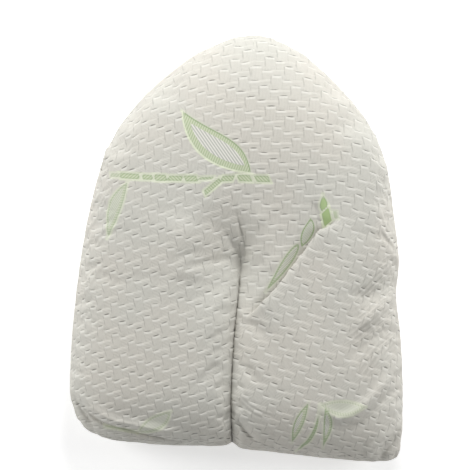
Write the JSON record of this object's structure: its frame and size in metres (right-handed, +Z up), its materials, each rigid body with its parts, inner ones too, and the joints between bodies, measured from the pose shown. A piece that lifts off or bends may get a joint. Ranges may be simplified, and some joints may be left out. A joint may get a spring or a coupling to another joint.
{
  "type": "v shaped pillow",
  "caption": "Filled V pillow folded with its two arms pressed side by side, in a white basket-weave knit cover with pale green leaf sprays, lying on its back.",
  "frame": {"origin": "on the resting surface, under the middle of the pillow's box", "axes": "+Z up out of the pillow's face, +Y towards the rounded apex where the arms join, +X across both arms to the right"},
  "size_m": [0.5889, 0.7405, 0.128],
  "materials": {
    "cover": "matte white jacquard knit with a raised basket weave and pale green leaf motifs"
  },
  "bodies": {
    "root": {"v_pillow": "cover"}
  },
  "joints": []
}
